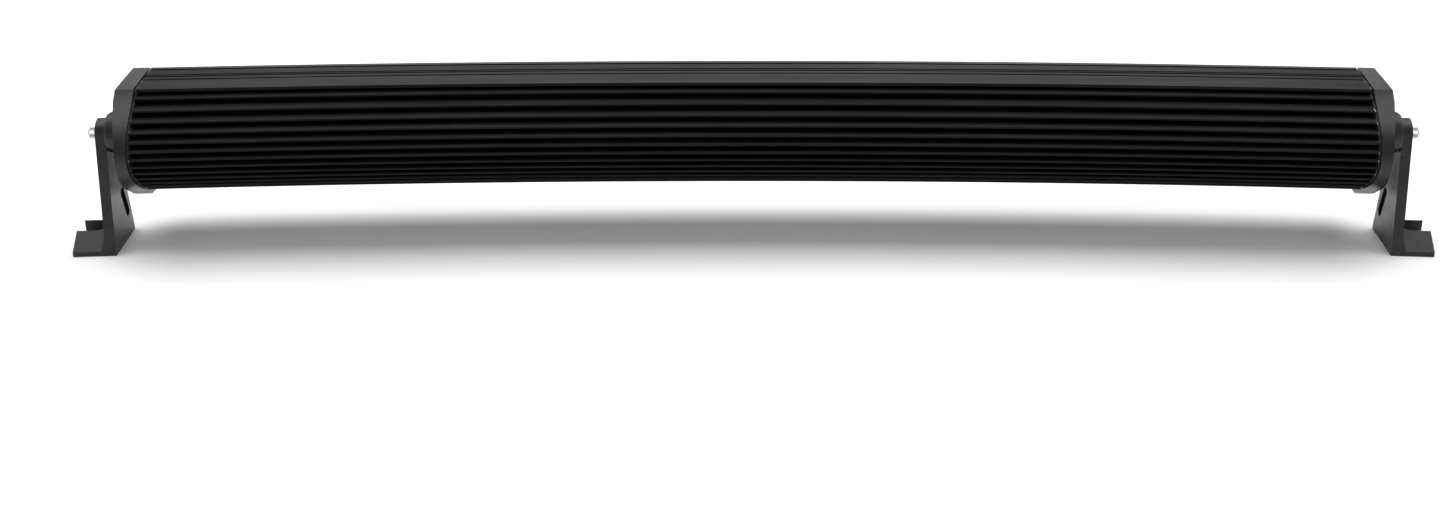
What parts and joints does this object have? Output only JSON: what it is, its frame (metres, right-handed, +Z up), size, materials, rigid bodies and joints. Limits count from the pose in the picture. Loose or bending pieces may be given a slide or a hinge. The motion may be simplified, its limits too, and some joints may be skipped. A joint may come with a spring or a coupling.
{
  "type": "led light bar",
  "caption": "Curved double-row LED light bar for a truck or trailer, black finned housing, clear lens, tilting end brackets with open-slot feet.",
  "frame": {"origin": "centre of the bounding box in X and Y, on the plane the two feet stand on", "axes": "+X along the bar to its right end seen from the front, +Y to the finned back, so the lens faces -Y, +Z up"},
  "size_m": [0.9098, 0.0897, 0.1108],
  "materials": {
    "black_anodised": "satin black anodised extrusion",
    "black_bezel": "satin black anodised strip",
    "black_cast": "satin black powder coat on die-cast aluminium",
    "black_rubber": "black silicone rubber",
    "black_screw": "black oxide steel",
    "brass_spacer": "turned brass",
    "can_metal": "sleeved aluminium can",
    "clear_lens": "clear polycarbonate",
    "component_black": "moulded black epoxy",
    "ferrite": "dark ferrite",
    "green_board": "green circuit board",
    "grey_pad": "soft grey thermal sheet",
    "mirror_plastic": "vacuum metallised plastic",
    "nylon_black": "black nylon",
    "phosphor": "yellow phosphor under a clear dome",
    "stainless": "bright stainless steel",
    "terminal_green": "green moulded terminal",
    "white_board": "white solder mask on an aluminium board",
    "wire_black": "black insulated wire",
    "wire_red": "red insulated wire"
  },
  "bodies": {
    "lamp": {"bezel_bottom": "black_bezel", "bezel_screws_bottom": "black_screw", "bezel_screws_top": "black_screw", "bezel_top": "black_bezel", "board_screws": "stainless", "breather_vent": "nylon_black", "cable_gland": "nylon_black", "driver_board": "green_board", "driver_capacitors": "can_metal", "driver_chips": "component_black", "driver_inductors": "ferrite", "driver_screws": "stainless", "driver_spacers": "brass_spacer", "driver_terminal": "terminal_green", "end_cap_left": "black_cast", "end_cap_right": "black_cast", "end_cap_screws_left": "stainless", "end_cap_screws_right": "stainless", "end_gasket_left": "black_rubber", "end_gasket_right": "black_rubber", "friction_disc_left": "nylon_black", "friction_disc_right": "nylon_black", "gland_seal": "black_rubber", "housing": "black_anodised", "led_board_1": "white_board", "led_board_2": "white_board", "led_board_3": "white_board", "led_board_4": "white_board", "led_board_5": "white_board", "led_board_6": "white_board", "led_emitters": "phosphor", "led_wire_negative": "wire_black", "led_wire_positive": "wire_red", "lens": "clear_lens", "lens_gasket": "black_rubber", "pivot_bolt_left": "stainless", "pivot_bolt_right": "stainless", "pivot_insert_left": "stainless", "pivot_insert_right": "stainless", "reflector_1": "mirror_plastic", "reflector_2": "mirror_plastic", "reflector_3": "mirror_plastic", "reflector_4": "mirror_plastic", "reflector_5": "mirror_plastic", "reflector_6": "mirror_plastic", "spring_washer_left": "stainless", "spring_washer_right": "stainless", "supply_wire_negative": "wire_black", "supply_wire_positive": "wire_red", "thermal_pad": "grey_pad"},
    "bracket_left_body": {"bracket_left": "black_cast"},
    "bracket_right_body": {"bracket_right": "black_cast"}
  },
  "joints": [
    {"name": "bracket_right_tilt", "type": "hinge", "parent": "lamp", "child": "bracket_right_body", "pos_m": [0.42871, 0.012, 0.0798], "axis": [0.9977, 0.068, 0], "range_deg": [-90, 90]},
    {"name": "bracket_left_tilt", "type": "hinge", "parent": "lamp", "child": "bracket_left_body", "pos_m": [-0.42871, 0.012, 0.0798], "axis": [0.9977, -0.068, 0], "range_deg": [-90, 90]}
  ]
}
